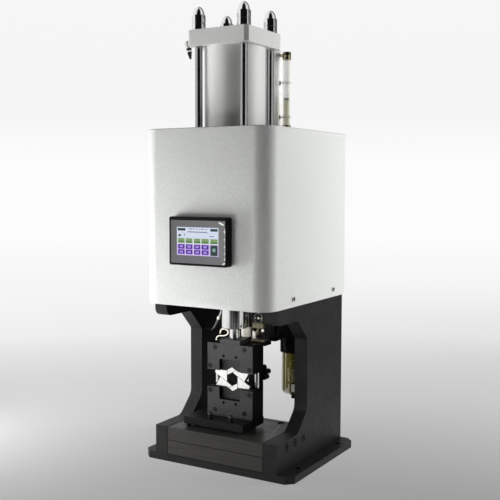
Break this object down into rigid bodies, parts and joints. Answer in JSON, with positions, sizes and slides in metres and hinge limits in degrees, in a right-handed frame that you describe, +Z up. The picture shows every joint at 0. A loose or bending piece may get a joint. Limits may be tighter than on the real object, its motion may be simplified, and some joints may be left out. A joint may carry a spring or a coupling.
{
  "type": "terminal crimping machine",
  "caption": "Bench C-frame crimping press with a sheet-covered air-over-oil cylinder, touch panel, vertical ram and a hexagonal die of sliding jaws.",
  "frame": {"origin": "centre of the base plate's underside", "axes": "+Z up along the ram, +X to the machine's right as its operator faces it, -Y towards the operator"},
  "size_m": [0.35, 0.3565, 0.919],
  "materials": {
    "frame_paint": "charcoal, smooth satin",
    "bolster_steel": "black oxide, ground and oiled",
    "black_steel": "black oxide",
    "cover_paint": "light grey, fine powder coat",
    "plate_steel": "dark grey ground steel",
    "bright_steel": "bright",
    "jaw_steel": "polished",
    "ram_chrome": "polished hard chrome",
    "cast_aluminium": "satin",
    "tube_steel": "honed tube",
    "bronze": "bearing bronze",
    "cream_steel": "cream, satin",
    "tank_white": "white, gloss",
    "clear_tube": "clear",
    "black_plastic": "moulded",
    "bezel_plastic": "dark grey, glossy",
    "screen_glass": "lit panel behind clear glass",
    "amber_bowl": "olive amber, clear",
    "filter_media": "sintered element",
    "hose_rubber": "black",
    "fitting_brass": "dull brass and nickel"
  },
  "bodies": {
    "frame": {"base_plate": "frame_paint", "side_plate_left": "frame_paint", "side_plate_right": "frame_paint", "head_block": "frame_paint", "bolster_lower": "bolster_steel", "bolster_upper": "bolster_steel", "frame_screws": "black_steel", "lower_die_screws": "black_steel", "lower_die_holder": "black_steel", "die_base": "black_steel", "stop_bracket": "black_steel", "air_elbow": "black_steel", "cover": "cover_paint", "lower_front_plate": "plate_steel", "cover_screws": "bright_steel", "die_shoe": "bright_steel", "guide_posts": "bright_steel", "sensor_cable": "bright_steel", "jaw_6": "jaw_steel", "lower_dowels": "jaw_steel", "lower_jaw_springs": "jaw_steel", "tie_rods": "ram_chrome", "tie_rod_nuts": "ram_chrome", "dome_nuts": "ram_chrome", "cylinder_top_cap": "cast_aluminium", "cylinder_foot_cap": "cast_aluminium", "cylinder_barrel": "cast_aluminium", "oil_cylinder": "tube_steel", "ram_guide_bush": "bronze", "oil_tank": "tank_white", "tank_lid": "tank_white", "sight_tube": "clear_tube", "sight_tube_fittings": "black_plastic", "filter_body": "black_plastic", "air_valve": "black_plastic", "panel_housing": "bezel_plastic", "panel_screen": "screen_glass", "filter_bowl": "amber_bowl", "filter_element": "filter_media", "air_hose": "hose_rubber"},
    "ram": {"ram": "ram_chrome", "ram_adapter": "plate_steel", "upper_die_holder": "black_steel", "upper_front_plate": "plate_steel", "upper_die_screws": "black_steel", "upper_dowels": "jaw_steel", "guide_bushes": "bronze", "jaw_3": "jaw_steel", "upper_jaw_springs": "jaw_steel", "yoke_plate": "black_steel", "guide_rod": "cream_steel", "die_air_fitting": "fitting_brass", "wire_clip": "cream_steel"},
    "booster": {"booster_piston": "cast_aluminium"},
    "jaw_1": {"jaw_1": "jaw_steel"},
    "jaw_2": {"jaw_2": "jaw_steel"},
    "jaw_4": {"jaw_4": "jaw_steel"},
    "jaw_5": {"jaw_5": "jaw_steel"},
    "stop_knob": {"stop_knob": "black_plastic"},
    "regulator_knob": {"regulator_knob": "black_plastic"}
  },
  "joints": [
    {"name": "ram_slide", "type": "slide", "parent": "frame", "child": "ram", "axis": [0, 0, 1], "range_m": [0, 0.025]},
    {"name": "booster_slide", "type": "slide", "parent": "frame", "child": "booster", "axis": [0, 0, 1], "range_m": [0, 0.12657]},
    {"name": "jaw_1_slide", "type": "slide", "parent": "ram", "child": "jaw_1", "axis": [-0.5, 0, -0.866], "range_m": [0, 0.02166]},
    {"name": "jaw_2_slide", "type": "slide", "parent": "ram", "child": "jaw_2", "axis": [-0.866, 0, -0.5], "range_m": [0, 0.01251]},
    {"name": "jaw_4_slide", "type": "slide", "parent": "frame", "child": "jaw_4", "axis": [0.5, 0, 0.866], "range_m": [0, 0.02166]},
    {"name": "jaw_5_slide", "type": "slide", "parent": "frame", "child": "jaw_5", "axis": [0.866, 0, 0.5], "range_m": [0, 0.01251]},
    {"name": "stop_knob_turn", "type": "hinge", "parent": "frame", "child": "stop_knob", "pos_m": [0.043, -0.036, 0.18], "axis": [0, 1, 0], "continuous": true},
    {"name": "regulator_knob_turn", "type": "hinge", "parent": "frame", "child": "regulator_knob", "pos_m": [0.059, 0.08, 0.275], "axis": [0, 0, 1], "range_deg": [-150, 150]}
  ],
  "couplings": [
    {"joint": "booster_slide", "follows": "ram_slide", "ratio": 5.0625},
    {"joint": "jaw_1_slide", "follows": "ram_slide", "ratio": 0.86603},
    {"joint": "jaw_2_slide", "follows": "ram_slide", "ratio": 0.5},
    {"joint": "jaw_4_slide", "follows": "ram_slide", "ratio": 0.86603},
    {"joint": "jaw_5_slide", "follows": "ram_slide", "ratio": 0.5}
  ]
}
